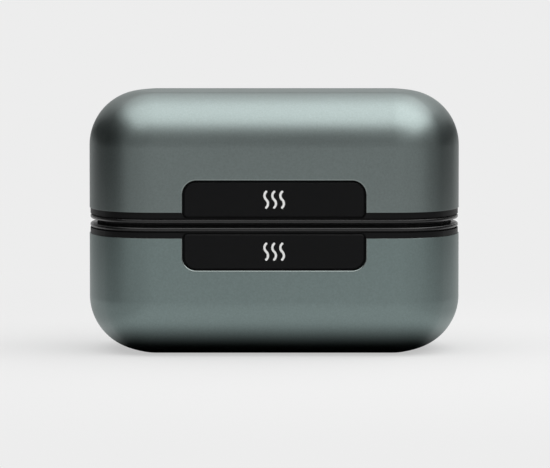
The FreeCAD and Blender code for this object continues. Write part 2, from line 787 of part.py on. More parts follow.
def make_usb_tongue(body):
    tongue = upright_sketch(body, "port_mouth - port_depth")
    add_rectangle(tongue, "-port_offset - tongue_width / 2", "control_level - tongue_thickness / 2",
                  "-port_offset + tongue_width / 2", "control_level + tongue_thickness / 2")
    pad(tongue, "tongue_length", reverse=True)


# Circuit board on the frame's posts, its parts, and the screws that hold it down.
def make_circuit_board(body):
    board = level_sketch(body, "board_bottom")
    add_rounded(board, "0", "board_middle", "board_length", "board_width", ("board_corner",) * 4)
    for across, up in four_places("board_screw_place", "board_screw_rise"):
        add_circle(board, across, f"board_middle + {up}", "screw_hole")
    pad(board, "board_thickness")


# Charger chip, controller, coil and a row of capacitors, each at its place and line on the board.
def make_board_components(body):
    parts = [
        ("-chip_place", "chip_line", "chip_size", "chip_size", "chip_height"),
        ("controller_place", "controller_line", "controller_size", "controller_size", "controller_height"),
        ("coil_place", "coil_line", "coil_size", "coil_size", "coil_height"),
    ]
    for step in (-0.5, 0.5, 1.5):
        place = f"{step} * capacitor_pitch"
        parts.append((place, "capacitor_line", "capacitor_width", "capacitor_depth", "capacitor_height"))
    for across, line, width, depth, height in parts:
        part = level_sketch(body, "board_top")
        add_rectangle(part, f"{across} - {width} / 2", f"board_front + {line} - {depth} / 2",
                      f"{across} + {width} / 2", f"board_front + {line} + {depth} / 2")
        pad(part, height)


def make_board_screws(body):
    places = four_places("board_screw_place", "board_screw_rise")
    heads = level_sketch(body, "board_top")
    shanks = level_sketch(body, "board_top")
    for across, up in places:
        add_circle(heads, across, f"board_middle + {up}", "board_head_diameter")
        add_circle(shanks, across, f"board_middle + {up}", "screw_diameter")
    pad(heads, "board_head_height")
    pad(shanks, "board_screw_length", reverse=True)


def make_face_screws(body):
    heads = level_sketch(body, "inlay_thickness")
    shanks = level_sketch(body, "face_screw_seat")
    for across, up in four_places("face_screw_place", "face_screw_side"):
        add_circle(heads, across, up, "face_head_diameter")
        add_circle(shanks, across, up, "screw_diameter")
    pad(heads, "face_head_height")
    pad(shanks, "face_screw_length")


def make_magnets(body):
    discs = level_sketch(body, "magnet_level")
    for across, up in four_places("magnet_place", "magnet_side"):
        add_circle(discs, across, up, "magnet_diameter")
    pad(discs, "magnet_thickness")


# Battery: flat pack on the cradle's ledges, with its protection board on the left end.
def make_battery_cell(body):
    pack = level_sketch(body, "battery_level")
    add_rounded(pack, "0", "0", "battery_length", "battery_width", ("battery_corner",) * 4)
    pad(pack, "battery_top - battery_level")
    bottom = lies_at("Z", "battery_level")
    top = lies_at("Z", "battery_top")
    round_edges(body, "battery_edge", lambda edge: bottom(edge) or top(edge))


def make_battery_protection_board(body):
    guard = sketch_on(body, "YZ_Plane", "-battery_length / 2")
    add_rectangle(guard, "-guard_width / 2", "guard_level", "guard_width / 2", "guard_level + guard_height")
    pad(guard, "guard_thickness", reverse=True)


def make_battery_leads(body):
    for step in (0, 1):
        across = f"battery_lead_side + {step} * lead_spacing"
        add_lead(body, -1, across, "lead_diameter", "guard_face", "guard_level + guard_height / 2",
                 "guard_face + lead_straight + lead_bend", "lead_bend")


# Heater: foil under the crown, foam below it, a bead that senses its heat, and the leads of both.
def make_heater_film(body):
    foil = level_sketch(body, "heater_bottom")
    add_rounded(foil, "0", "0", "heater_length", "heater_width", ("heater_corner",) * 4)
    pad(foil, "heater_thickness")


def make_insulation_pad(body):
    foam = level_sketch(body, "battery_top")
    add_rounded(foam, "0", "0", "insulation_length", "heater_width", ("heater_corner",) * 4)
    pad(foam, "insulation_thickness")


def make_heater_leads(body):
    for step in (0, 1):
        across = f"heater_lead_side + {step} * lead_spacing"
        add_lead(body, -1, across, "lead_diameter", "heater_length / 2 - heater_lead_overlap",
                 "heater_bottom - lead_diameter / 2", "heater_lead_drop", "heater_lead_bend")


def make_thermistor(body):
    bead = sketch_on(body, "YZ_Plane", "insulation_length / 2 + fit_gap")
    add_circle(bead, "sensor_line", "heater_bottom - thermistor_diameter / 2", "thermistor_diameter")
    pad(bead, "thermistor_length")


def make_thermistor_leads(body):
    for step in (-0.5, 0.5):
        add_lead(body, 1, f"sensor_line + {step} * sensor_lead_spacing", "sensor_lead_diameter",
                 "insulation_length / 2 + fit_gap + thermistor_length",
                 "heater_bottom - thermistor_diameter / 2", "heater_lead_drop", "heater_lead_bend")


PIECES = (
    make_shell,
    make_inner_frame,
    make_face_plate,
    make_face_inlay,
    make_label_plate,
    make_control_plate,
    make_power_button,
    make_switch_plunger,
    make_switch_body,
    make_light_guide,
    make_status_leds,
    make_usb_socket,
    make_usb_tongue,
    make_circuit_board,
    make_board_components,
    make_board_screws,
    make_face_screws,
    make_magnets,
    make_battery_cell,
    make_battery_protection_board,
    make_battery_leads,
    make_heater_film,
    make_insulation_pad,
    make_heater_leads,
    make_thermistor,
    make_thermistor_leads,
)

# The upper half stands as it is modelled, the lower one is the same half turned over.
HALVES = {"lower": 180, "upper": 0}

nodes = []
for half, turn in HALVES.items():
    for make in PIECES:
        name = f"{half}_{make.__name__.removeprefix('make_')}"
        node = doc.addObject("PartDesign::Body", name)
        node.Label = name
        node.AllowCompound = True
        make(node)
        node.Placement = Placement(Vector(0, 0, 0), Rotation(Vector(0, 1, 0), turn))
        node.setExpression("Placement.Base.z", formula("half_height"))
        nodes.append(node)
doc.recompute()

failed = [item.Name for item in doc.Objects if {"Invalid", "Error"} & set(item.State)]
for node in nodes:
    if node.Shape.isNull() or not node.Shape.isValid() or not node.Shape.Solids:
        failed.append(node.Label)
if failed:
    raise RuntimeError("not built: " + ", ".join(failed))

os.makedirs("parts", exist_ok=True)
for node in nodes:
    node.Shape.exportStep(f"parts/{node.Label}.step")
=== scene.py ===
import bmesh
import bpy
import math
from mathutils import Matrix, Vector


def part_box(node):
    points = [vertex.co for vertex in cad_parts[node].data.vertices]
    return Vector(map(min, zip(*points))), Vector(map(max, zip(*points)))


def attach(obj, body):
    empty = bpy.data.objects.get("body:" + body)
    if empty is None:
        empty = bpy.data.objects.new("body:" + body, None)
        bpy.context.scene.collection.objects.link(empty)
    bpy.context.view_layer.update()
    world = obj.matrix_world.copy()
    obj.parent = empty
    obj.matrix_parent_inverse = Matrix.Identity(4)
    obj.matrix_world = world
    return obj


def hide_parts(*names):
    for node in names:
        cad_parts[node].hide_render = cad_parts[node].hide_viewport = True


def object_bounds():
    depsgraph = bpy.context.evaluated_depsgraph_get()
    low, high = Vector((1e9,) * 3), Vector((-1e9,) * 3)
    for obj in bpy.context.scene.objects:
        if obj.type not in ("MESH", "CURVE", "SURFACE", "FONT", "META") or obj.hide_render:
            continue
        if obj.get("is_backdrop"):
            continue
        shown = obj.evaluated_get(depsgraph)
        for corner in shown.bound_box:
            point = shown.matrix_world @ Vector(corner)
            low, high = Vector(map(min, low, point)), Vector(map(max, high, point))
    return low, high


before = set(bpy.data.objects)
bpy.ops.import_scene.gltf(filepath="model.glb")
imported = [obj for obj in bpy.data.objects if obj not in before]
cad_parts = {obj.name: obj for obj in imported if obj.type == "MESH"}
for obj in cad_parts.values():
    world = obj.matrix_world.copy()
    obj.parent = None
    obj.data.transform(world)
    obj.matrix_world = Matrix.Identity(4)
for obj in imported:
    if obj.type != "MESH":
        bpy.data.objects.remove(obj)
cad_low, cad_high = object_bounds()


# Face plate: the moulded black plate that closes a half, with the rounded lip of the seam.
# Injection-moulded plastic with a fine satin grain. Four screws pull it onto the frame.
HALVES = ("lower", "upper")
BLACK_PLASTIC = (0.004, 0.0041, 0.0044)
SPARK_GRAIN = 0.00012
SPARK_DEPTH = 0.000006
FLOW_CLOUDS = 0.009
GLOSS_SPREAD = 0.05
NOISE_RANGE = (0.3, 0.7)


class Shade:
    """An output in a material's node tree. Sums written with it add Math nodes to that tree."""

    def __init__(self, tree, socket=None):
        self.tree = tree
        self.socket = socket

    def node(self, kind, settings, inputs, output=0):
        """Add any node: its settings first, then a value or another output for each socket."""
        added = self.tree.nodes.new("ShaderNode" + kind)
        for name, setting in settings.items():
            setattr(added, name, setting)
        for name, entry in inputs.items():
            if isinstance(entry, Shade):
                self.tree.links.new(entry.socket, added.inputs[name])
            else:
                added.inputs[name].default_value = entry
        return Shade(self.tree, added.outputs[output])

    def sum_with(self, operation, first, second):
        return self.node("Math", {"operation": operation}, {0: first, 1: second})

    def __add__(self, other):
        return self.sum_with("ADD", self, other)

    def __radd__(self, other):
        return self.sum_with("ADD", other, self)

    def __sub__(self, other):
        return self.sum_with("SUBTRACT", self, other)

    def __rsub__(self, other):
        return self.sum_with("SUBTRACT", other, self)

    def __mul__(self, other):
        return self.sum_with("MULTIPLY", self, other)

    def __rmul__(self, other):
        return self.sum_with("MULTIPLY", other, self)

    def place(self, axis=None):
        """Where a point of the piece lies, in metres: the whole vector, or one axis of it."""
        where = self.node("TexCoord", {}, {}, "Object")
        if axis is None:
            return where
        return self.node("SeparateXYZ", {}, {"Vector": where}, axis)

    def noise(self, grain, detail=2.0):
        """Cloudy noise from 0 to 1 whose spots are about as wide as the grain, in metres."""
        return self.node("TexNoise", {}, {"Vector": self.place(), "Scale": 1 / grain, "Detail": detail})

    def spread(self, value, low, high, first, last):
        """Map a range of values smoothly onto another one."""
        sockets = {"Value": value, "From Min": low, "From Max": high, "To Min": first, "To Max": last}
        return self.node("MapRange", {"interpolation_type": "SMOOTHSTEP"}, sockets)

    def vary(self, noise, first, last):
        """Spread noise, which seldom leaves the middle of its range, between two values."""
        return self.spread(noise, *NOISE_RANGE, first, last)

    def blend(self, amount, first, second):
        """One colour turning into another as the amount goes from 0 to 1."""
        first_colour, second_colour, mixed_colour = 6, 7, 2
        sockets = {"Factor": amount, first_colour: first, second_colour: second}
        return self.node("Mix", {"data_type": "RGBA"}, sockets, mixed_colour)

    def bump(self, height, depth):
        """Relief from heights between 0 and 1, with its depth in metres."""
        return self.node("Bump", {}, {"Height": height, "Distance": depth})


def new_finish(name, **constants):
    """A material with one principled shader. What is the same all over is set on its sockets."""
    finish = bpy.data.materials.new(name)
    finish.use_nodes = True
    shader = finish.node_tree.nodes["Principled BSDF"]
    for socket, amount in constants.items():
        shader.inputs[socket.replace("_", " ")].default_value = amount
    return finish, Shade(finish.node_tree)


def feed(finish, **shades):
    """Link what changes over the surface to the shader's sockets."""
    tree = finish.node_tree
    shader = tree.nodes["Principled BSDF"]
    for socket, shade in shades.items():
        tree.links.new(shade.socket, shader.inputs[socket.replace("_", " ")])


def tint(colour, factor):
    """A colour made darker or lighter, with the alpha that a colour socket needs."""
    return [channel * factor for channel in colour] + [1]


def dress(piece, finish):
    """Give the CAD node of both halves a finish."""
    for half in HALVES:
        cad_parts[f"{half}_{piece}"].material_slots[0].material = finish


def moulded_plastic(name, colour, roughness, specular, grain=SPARK_GRAIN):
    """Moulded plastic: a fine spark-eroded grain, faint flow clouds, uneven gloss."""
    finish, shade = new_finish(name, Specular_IOR_Level=specular)
    fine = shade.noise(grain, detail=3)
    clouds = shade.noise(FLOW_CLOUDS)
    mottle = 0.6 * fine + 0.4 * clouds
    polish = 0.5 * fine + 0.5 * clouds
    feed(finish,
         Base_Color=shade.blend(mottle, tint(colour, 0.8), tint(colour, 1.2)),
         Roughness=shade.vary(polish, roughness - GLOSS_SPREAD, roughness + GLOSS_SPREAD),
         Normal=shade.bump(fine, SPARK_DEPTH))
    return finish


dress("face_plate", moulded_plastic("satin_face_plastic", BLACK_PLASTIC, roughness=0.25, specular=0.50))


# Magnets: four nickel-plated discs pressed into the cups of each face plate.
# The plating is bright and a little warm, and clouded by the grain of the sintered discs.
nickel, shade = new_finish("nickel_plate", Metallic=1.0)
sinter = shade.noise(grain=0.0004)
feed(nickel,
     Base_Color=shade.blend(sinter, (0.56, 0.55, 0.52, 1), (0.66, 0.65, 0.62, 1)),
     Roughness=shade.vary(sinter, 0.16, 0.26),
     Normal=shade.bump(sinter, depth=0.000003))
dress("magnets", nickel)


# Inner frame: the moulded chassis that carries everything else in a half.
# Black plastic with a slightly coarser grain; its collar is the band below the metal rim.
frame_plastic = moulded_plastic("grained_frame_plastic", BLACK_PLASTIC, roughness=0.42, specular=0.12,
                                grain=0.00016)
dress("inner_frame", frame_plastic)


# Circuit board and protection board: glass-fibre laminate under green solder mask, the first screwed to
# the frame's posts, the second fixed to the battery's end. The mask lies over patches of copper tracks,
# which show as lighter lines slightly raised.
STRIPE_PERIOD = math.pi / 10
TRACK_PITCH = 0.0016
TRACK_EDGE = (0.72, 0.82)
PATCH_SIZE = 0.006
PATCH_EDGE = (0.46, 0.5)


def stripes(shade, axis, pitch, edge):
    """Parallel stripes across an axis, one in each pitch: 1 on a stripe, 0 beside it."""
    bands = {"wave_type": "BANDS", "bands_direction": axis}
    sockets = {"Vector": shade.place(), "Scale": STRIPE_PERIOD / pitch, "Distortion": 0.0}
    return shade.spread(shade.node("TexWave", bands, sockets, 1), *edge, 0, 1)


solder_mask, shade = new_finish("green_solder_mask", Specular_IOR_Level=0.5)
patches = shade.spread(shade.noise(PATCH_SIZE, detail=0), *PATCH_EDGE, 0, 1)
along, across = (stripes(shade, axis, TRACK_PITCH, TRACK_EDGE) for axis in "XY")
tracks = patches * along + (1 - patches) * across
feed(solder_mask,
     Base_Color=shade.blend(tracks, (0.012, 0.075, 0.030, 1), (0.030, 0.150, 0.062, 1)),
     Roughness=shade.vary(shade.noise(grain=0.0008), 0.22, 0.34),
     Normal=shade.bump(tracks, depth=0.00003))
dress("circuit_board", solder_mask)
dress("battery_protection_board", solder_mask)


# Board parts: moulded chip packages, coil and capacitors, and the tactile switch with its plunger.
# All are soldered to the board; their epoxy is matt and a little grey.
epoxy = moulded_plastic("grey_epoxy", (0.020, 0.020, 0.021), roughness=0.55, specular=0.4, grain=0.0002)
for piece in ("board_components", "switch_body", "switch_plunger"):
    dress(piece, epoxy)


# Charging socket: a shell folded from plated steel round a dark contact tongue, soldered to the board.
# Fine drawing lines run along it; the tongue has gold contacts across its width.
LINES_PER_METRE = 9000
DRAWN_OUT = (1, 0.05, 1)
CONTACT_PITCH = 0.0005
CONTACT_EDGE = (0.45, 0.55)

plated_steel, shade = new_finish("plated_steel", Metallic=1.0)
drawn = shade.node("Mapping", {}, {"Vector": shade.place(), "Scale": DRAWN_OUT})
lines = shade.node("TexNoise", {}, {"Vector": drawn, "Scale": LINES_PER_METRE, "Detail": 2})
feed(plated_steel,
     Base_Color=shade.blend(lines, (0.50, 0.50, 0.50, 1), (0.62, 0.62, 0.61, 1)),
     Roughness=shade.vary(lines, 0.2, 0.34),
     Normal=shade.bump(lines, depth=0.000004))
dress("usb_socket", plated_steel)

contact_tongue, shade = new_finish("contact_tongue", Specular_IOR_Level=0.5)
gold = stripes(shade, "X", CONTACT_PITCH, CONTACT_EDGE)
feed(contact_tongue,
     Base_Color=shade.blend(gold, (0.012, 0.012, 0.013, 1), (0.75, 0.52, 0.20, 1)),
     Metallic=gold,
     Roughness=shade.vary(shade.noise(grain=0.0002), 0.25, 0.4))
dress("usb_tongue", contact_tongue)


# Screws: zinc-plated steel, four in the board and four in the face plate.
# The plating is a soft grey whose slightly blue cast clouds from place to place.
zinc, shade = new_finish("zinc_plate", Metallic=1.0)
cast = shade.noise(grain=0.0006, detail=3)
feed(zinc,
     Base_Color=shade.blend(cast, (0.42, 0.43, 0.46, 1), (0.55, 0.55, 0.56, 1)),
     Roughness=shade.vary(cast, 0.24, 0.4),
     Normal=shade.bump(cast, depth=0.000004))
dress("board_screws", zinc)
dress("face_screws", zinc)


# Status lights: white packages on the board's rear edge, behind a clear moulded light guide.
# The guide's four pins end flush in the control plate; a frosted skin spreads the light.
led_white, shade = new_finish("led_package", Specular_IOR_Level=0.5)
speck = shade.noise(grain=0.0003)
feed(led_white,
     Base_Color=shade.blend(speck, (0.76, 0.75, 0.68, 1), (0.86, 0.85, 0.80, 1)),
     Roughness=shade.vary(speck, 0.35, 0.5))
dress("status_leds", led_white)

frosted, shade = new_finish("frosted_light_guide", Specular_IOR_Level=0.5, Transmission_Weight=0.55,
                            IOR=1.49)
frost = shade.noise(grain=0.00015, detail=3)
feed(frosted,
     Base_Color=shade.blend(frost, (0.72, 0.75, 0.77, 1), (0.84, 0.86, 0.87, 1)),
     Roughness=shade.vary(frost, 0.28, 0.42),
     Normal=shade.bump(frost, depth=0.000005))
dress("light_guide", frosted)


# Battery: a flat lithium pack in dull blue shrink film, set in the frame's cradle.
# The film is slightly creased, and its colour and gloss change along the creases.
shrink_film, shade = new_finish("blue_shrink_film", Specular_IOR_Level=0.45)
creases = shade.noise(grain=0.004, detail=5)
feed(shrink_film,
     Base_Color=shade.blend(creases, (0.045, 0.085, 0.170, 1), (0.065, 0.115, 0.215, 1)),
     Roughness=shade.vary(creases, 0.26, 0.42),
     Normal=shade.bump(creases, depth=0.00006))
dress("battery_cell", shrink_film)


# Leads: stranded copper in soft coloured insulation, soldered at both ends. A red and a black one come
# from the battery, two white ones from the heater and two thin black ones from the heat sensor.
PAIR_EDGE = 0.0001
PLAIN_LEADS = {
    "heater_leads": ("white_insulation", (0.70, 0.70, 0.67)),
    "thermistor_leads": ("black_insulation", (0.014, 0.014, 0.015)),
}


def insulation(name):
    """Extruded insulation with a faint ripple. Its colour is fed to it afterwards."""
    finish, shade = new_finish(name, Specular_IOR_Level=0.4)
    ripple = shade.noise(grain=0.0005, detail=3)
    feed(finish,
         Roughness=shade.vary(ripple, 0.42, 0.56),
         Normal=shade.bump(ripple, depth=0.00001))
    return finish, shade, ripple


battery_pair, shade, ripple = insulation("battery_lead_pair")
pair_low, pair_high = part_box("upper_battery_leads")
pair_middle = (pair_low.y + pair_high.y) / 2
black_side = shade.spread(shade.place("Y"), pair_middle - PAIR_EDGE, pair_middle + PAIR_EDGE, 0, 1)
red = shade.blend(ripple, (0.36, 0.017, 0.015, 1), (0.46, 0.022, 0.020, 1))
feed(battery_pair, Base_Color=shade.blend(black_side, red, (0.012, 0.012, 0.013, 1)))
dress("battery_leads", battery_pair)
for piece, (name, colour) in PLAIN_LEADS.items():
    finish, shade, ripple = insulation(name)
    feed(finish, Base_Color=shade.blend(ripple, tint(colour, 0.85), tint(colour, 1.1)))
    dress(piece, finish)


# Heater: an amber polyimide foil with a meandering resistance track, bonded under the crown.
# The sensor bead beside it is dipped in dark resin.
MEANDER_PITCH = 0.0025
MEANDER_EDGE = (0.55, 0.65)

polyimide, shade = new_finish("amber_polyimide", Specular_IOR_Level=0.5)
track = stripes(shade, "Y", MEANDER_PITCH, MEANDER_EDGE)
amber = shade.blend(shade.noise(grain=0.003), (0.40, 0.155, 0.018, 1), (0.50, 0.205, 0.030, 1))
feed(polyimide,
     Base_Color=shade.blend(track, amber, (0.26, 0.16, 0.07, 1)),
     Roughness=shade.vary(shade.noise(grain=0.001), 0.18, 0.32),
     Normal=shade.bump(track, depth=0.00003))
dress("heater_film", polyimide)

resin = moulded_plastic("dipped_resin", (0.035, 0.024, 0.014), roughness=0.25, specular=0.5, grain=0.0006)
dress("thermistor", resin)


# Insulation: a block of closed-cell foam pressed between battery and heater foil.
# Cut from sheet, so its edges are soft and its skin shows fine cells.
FOAM_EDGE = 0.0006
FOAM_EDGE_STEPS = 4
FOAM_SQUEEZE = 0.00004
CELLS_PER_METRE = 2600


def finished_mesh(bm, name, smooth=False):
    """Turn a bmesh into a mesh whose faces are all shaded flat, or all smooth."""
    for face in bm.faces:
        face.smooth = smooth
    mesh = bpy.data.meshes.new(name)
    bm.to_mesh(mesh)
    bm.free()
    return mesh


def new_piece(name, mesh, finish, body):
    """Put a finished mesh in the scene as a piece that rides on a body."""
    mesh.materials.append(finish)
    piece = bpy.data.objects.new(name, mesh)
    bpy.context.scene.collection.objects.link(piece)
    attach(piece, body)
    return piece


foam, shade = new_finish("closed_cell_foam", Specular_IOR_Level=0.2)
cells = shade.node("TexVoronoi", {}, {"Vector": shade.place(), "Scale": CELLS_PER_METRE})
feed(foam,
     Base_Color=shade.blend(cells, (0.10, 0.10, 0.10, 1), (0.22, 0.22, 0.215, 1)),
     Roughness=shade.spread(cells, 0, 0.6, 0.95, 0.8),
     Normal=shade.bump(cells, depth=0.00012))
for half in HALVES:
    low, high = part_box(f"{half}_insulation_pad")
    bm = bmesh.new()
    bmesh.ops.create_cube(bm, size=1)
    bmesh.ops.scale(bm, vec=high - low - Vector((2, 2, 2)) * FOAM_SQUEEZE, verts=bm.verts)
    bmesh.ops.translate(bm, vec=(low + high) / 2, verts=bm.verts)
    bmesh.ops.bevel(bm, geom=bm.edges[:], offset=FOAM_EDGE, offset_type="OFFSET", affect="EDGES",
                    segments=FOAM_EDGE_STEPS, profile=0.5, material=-1)
    mesh = finished_mesh(bm, "insulation_foam", smooth=True)
    block = new_piece(f"{half}_insulation_foam", mesh, foam, f"{half}_unit")
    block.modifiers.new("shading", "WEIGHTED_NORMAL")
    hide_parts(f"{half}_insulation_pad")


# Metal shell: a drawn aluminium cover, bead-blasted and anodised grey-green, bonded to the frame.
# Its rim and the two notches are cut after anodising, so their narrow bevels are brighter.
PLAN_HALF_LENGTH = cad_high.x
PLAN_HALF_DEPTH = cad_high.y
CROWN_LEVEL = cad_high.z
RIM_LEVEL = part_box("upper_shell")[0].z
SEAM_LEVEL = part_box("upper_face_inlay")[0].z
CROWN_RADIUS = 0.0133
CROWN_STEPS = 26
CORNER_RADIUS = 0.0141
END_RADIUS = 0.038
SHELL_WALL = 0.0012
TAB_CORNER = 0.0029
TAB_FOOT_CORNER = 0.0008
NOTCH_GAP = 0.00038
NOTCH_CORNER = TAB_CORNER + NOTCH_GAP
NOTCH_FOOT_CORNER = TAB_FOOT_CORNER + NOTCH_GAP
NOTCH_BEVEL = 0.00036
RIM_BEVEL = 0.00005
BEVEL_STEPS = 2
SHARP_ANGLE = math.radians(40)
ARC_STEP = math.radians(3)
QUARTER = math.pi / 2
SAME_PLACE = 1e-6


def anodised_metal(name, colour):
    """Blasted and dyed metal: a fine even grain and faint pits under a slow drift of the dye."""
    finish, shade = new_finish(name, Metallic=1.0)
    blast = shade.noise(grain=0.00010, detail=3)
    pitted = shade.noise(grain=0.00040)
    drift = shade.noise(grain=0.030)
    dye = 0.2 * blast + 0.6 * pitted + 0.2 * drift
    feed(finish,
         Base_Color=shade.blend(dye, tint(colour, 0.75), tint(colour, 1.25)),
         Roughness=shade.vary(0.7 * blast + 0.3 * drift, 0.36, 0.44),
         Normal=shade.bump(blast, depth=0.000005))
    return finish


# Both halves are one metal: the lower copy is painted lighter and greener and the upper copy darker, as
# painted light and painted shade for how each half is lit.
anodised = {
    "lower": anodised_metal("lower_anodised_metal_painted_light", (0.200, 0.254, 0.249)),
    "upper": anodised_metal("upper_anodised_metal_painted_shade", (0.195, 0.231, 0.226)),
}

cut_metal, shade = new_finish("cut_metal_edge", Metallic=1.0)
marks = shade.noise(grain=0.00006)
feed(cut_metal,
     Base_Color=shade.blend(marks, (0.20, 0.235, 0.228, 1), (0.26, 0.295, 0.288, 1)),
     Roughness=shade.vary(marks, 0.22, 0.32))


def only(kind, items):
    """Of what an operator gives back, the items of one kind."""
    return [item for item in items if isinstance(item, kind)]


def trace(bm, start, *moves):
    """Draw a chain in the level plane: a point is a straight, a centre and an angle are an arc."""
    tip = bmesh.ops.create_vert(bm, co=start)["vert"][0]
    for move in moves:
        if isinstance(move, Vector):
            tip = bmesh.ops.extrude_vert_indiv(bm, verts=[tip])["verts"][0]
            tip.co = move
            continue
        centre, angle = move
        steps = max(2, round(abs(angle) / ARC_STEP))
        spun = bmesh.ops.spin(bm, geom=[tip], cent=centre, axis=(0, 0, 1), angle=angle, steps=steps)
        tip = only(bmesh.types.BMVert, spun["geom_last"])[0]


def close_loop(bm, *axes):
    """Mirror the chain until it is a closed loop, and fill it with one face."""
    for axis in axes:
        bmesh.ops.mirror(bm, geom=bm.verts[:] + bm.edges[:], axis=axis, merge_dist=SAME_PLACE)
    bmesh.ops.remove_doubles(bm, verts=bm.verts, dist=SAME_PLACE)
    return bmesh.ops.contextual_create(bm, geom=bm.edges[:])["faces"]


def thicken(bm, faces, way):
    """Extrude flat faces into a solid."""
    grown = bmesh.ops.extrude_face_region(bm, geom=faces)["geom"]
    bmesh.ops.translate(bm, vec=way, verts=only(bmesh.types.BMVert, grown))
    bmesh.ops.recalc_face_normals(bm, faces=bm.faces)


# The blank: a quarter of the plan is mirrored twice, raised, rounded at its crown and left open below.
bow = Vector((PLAN_HALF_LENGTH - END_RADIUS, 0, RIM_LEVEL))
corner_y = PLAN_HALF_DEPTH - CORNER_RADIUS
corner = bow + Vector((math.sqrt((END_RADIUS - CORNER_RADIUS) ** 2 - corner_y ** 2), corner_y, 0))
lean = math.atan2(corner.y, corner.x - bow.x)
bm = bmesh.new()
trace(bm, (PLAN_HALF_LENGTH, 0, RIM_LEVEL), (bow, lean), (corner, QUARTER - lean),
      Vector((0, PLAN_HALF_DEPTH, RIM_LEVEL)))
thicken(bm, close_loop(bm, "X", "Y"), (0, 0, CROWN_LEVEL - RIM_LEVEL))
crown_edges = [edge for edge in bm.edges
               if min(vert.co.z for vert in edge.verts) > CROWN_LEVEL - SAME_PLACE]
bmesh.ops.bevel(bm, geom=crown_edges, offset=CROWN_RADIUS, offset_type="OFFSET", affect="EDGES",
                segments=CROWN_STEPS, profile=0.5, material=-1, clamp_overlap=False)
open_side = [face for face in bm.faces
             if max(vert.co.z for vert in face.verts) < RIM_LEVEL + SAME_PLACE]
bmesh.ops.delete(bm, geom=open_side, context="FACES")
bmesh.ops.recalc_face_normals(bm, faces=bm.faces)
blank = bpy.data.objects.new("shell_blank", finished_mesh(bm, "shell_blank", smooth=True))

# The cutter: the tab's outline with its gap, drawn flat, stood up and run through both walls.
tab_low, tab_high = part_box("upper_label_plate")
notch_side = tab_high.x + NOTCH_GAP
notch_top = tab_high.z + NOTCH_GAP
notch_foot = tab_low.z - NOTCH_GAP
cut_reach = 2 * PLAN_HALF_DEPTH
bm = bmesh.new()
trace(bm, (0, notch_top, 0),
      Vector((notch_side - NOTCH_CORNER, notch_top, 0)),
      (Vector((notch_side - NOTCH_CORNER, notch_top - NOTCH_CORNER, 0)), -QUARTER),
      Vector((notch_side, notch_foot + NOTCH_FOOT_CORNER, 0)),
      (Vector((notch_side - NOTCH_FOOT_CORNER, notch_foot + NOTCH_FOOT_CORNER, 0)), -QUARTER),
      Vector((0, notch_foot, 0)))
thicken(bm, close_loop(bm, "X"), (0, 0, 2 * cut_reach))
bmesh.ops.translate(bm, vec=(0, 0, -cut_reach), verts=bm.verts)
bmesh.ops.rotate(bm, cent=(0, 0, 0), matrix=Matrix.Rotation(QUARTER, 3, "X"), verts=bm.verts)
bmesh.ops.recalc_face_normals(bm, faces=bm.faces)
cutter = bpy.data.objects.new("notch_cutter", finished_mesh(bm, "notch_cutter", smooth=True))

# The upper shell: the blank gets its wall and its notches, then the weights of its bevels.
for item in (blank, cutter):
    bpy.context.scene.collection.objects.link(item)
wall = blank.modifiers.new("wall", "SOLIDIFY")
wall.thickness = SHELL_WALL
wall.offset = -1
wall.use_even_offset = True
notch = blank.modifiers.new("notch", "BOOLEAN")
notch.operation = "DIFFERENCE"
notch.solver = "EXACT"
notch.object = cutter
evaluated = blank.evaluated_get(bpy.context.evaluated_depsgraph_get())
upper_mesh = bpy.data.meshes.new_from_object(evaluated)
for item in (blank, cutter):
    bpy.data.objects.remove(item)

bm = bmesh.new()
bm.from_mesh(upper_mesh)
bevelled = bm.edges.layers.float.new("bevel_weight_edge")
for edge in bm.edges:
    if edge.calc_face_angle(0) > SHARP_ANGLE:
        on_rim = all(vert.co.z < RIM_LEVEL + SAME_PLACE for vert in edge.verts)
        edge[bevelled] = RIM_BEVEL / NOTCH_BEVEL if on_rim else 1
bm.to_mesh(upper_mesh)
bm.free()

# Both shells: the lower one is the upper one turned over about the seam.
from_seam = Matrix.Translation((0, 0, SEAM_LEVEL))
to_seam = Matrix.Translation((0, 0, -SEAM_LEVEL))
lower_placed = from_seam @ Matrix.Rotation(math.pi, 4, "Y") @ to_seam
for half in HALVES:
    mesh = upper_mesh.copy()
    mesh.materials.clear()
    if half == "lower":
        mesh.transform(lower_placed)
    shell = new_piece(f"{half}_metal_shell", mesh, anodised[half], f"{half}_unit")
    mesh.materials.append(cut_metal)
    cut_edge = shell.modifiers.new("edge", "BEVEL")
    cut_edge.width = NOTCH_BEVEL
    cut_edge.segments = BEVEL_STEPS
    cut_edge.limit_method = "WEIGHT"
    cut_edge.material = mesh.materials.find(cut_metal.name)
    shell.modifiers.new("shading", "WEIGHTED_NORMAL")
    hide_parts(f"{half}_shell")


# Tabs: black satin plates in the notches, each on two pegs of its own. The rear one is the control
# plate, with the port's slot and the key's window. The front one has three heat waves printed on it,
# each an even stroke of two arcs with round ends.
TAB_BLACK = (0.0035, 0.0036, 0.0039)
INK_THICKNESS = 0.00003
STROKE = 0.00055
WAVE_HEIGHT = 0.0038
WAVE_PITCH = 0.0019
WAVE_SWING = math.radians(48)
WAVE_COUNT = 3

tab_plastic = moulded_plastic("satin_tab_plastic", TAB_BLACK, roughness=0.40, specular=0.11)
dress("label_plate", tab_plastic)
dress("control_plate", tab_plastic)

white_ink, shade = new_finish("white_ink", Specular_IOR_Level=0.4)
screen = shade.noise(grain=0.00012, detail=3)
feed(white_ink,
     Base_Color=shade.blend(screen, (0.70, 0.70, 0.69, 1), (0.82, 0.82, 0.81, 1)),
     Roughness=shade.vary(screen, 0.42, 0.58),
     Normal=shade.bump(screen, depth=0.000004))

arc_rise = WAVE_HEIGHT / 2
arc_radius = arc_rise / (2 * math.sin(WAVE_SWING))
outer = arc_radius + STROKE / 2


